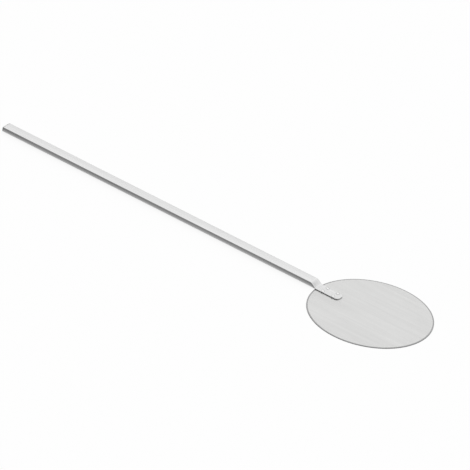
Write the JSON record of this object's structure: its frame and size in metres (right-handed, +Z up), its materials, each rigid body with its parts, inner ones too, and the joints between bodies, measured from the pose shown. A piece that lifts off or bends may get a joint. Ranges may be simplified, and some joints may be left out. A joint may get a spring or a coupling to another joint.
{
  "type": "pizza peel",
  "caption": "Long-handled pizza peel: a flat round steel blade riveted to the tongue at the end of a straight rectangular tube handle with a closed butt.",
  "frame": {"origin": "centre of the blade's underside", "axes": "+X from the handle to the blade's leading edge, the way the peel is pushed; +Z up, out of the face that carries the pizza; +Y to the left of the user"},
  "size_m": [1.287, 0.32, 0.0158],
  "materials": {
    "blade": "satin rolled sheet",
    "tube": "brushed along its length",
    "cap": "satin",
    "rivets": "bright"
  },
  "bodies": {
    "root": {"blade": "blade", "handle_tube": "tube", "end_cap": "cap", "rivet_rear_left": "rivets", "rivet_rear_right": "rivets", "rivet_front_left": "rivets", "rivet_front_right": "rivets"}
  },
  "joints": []
}
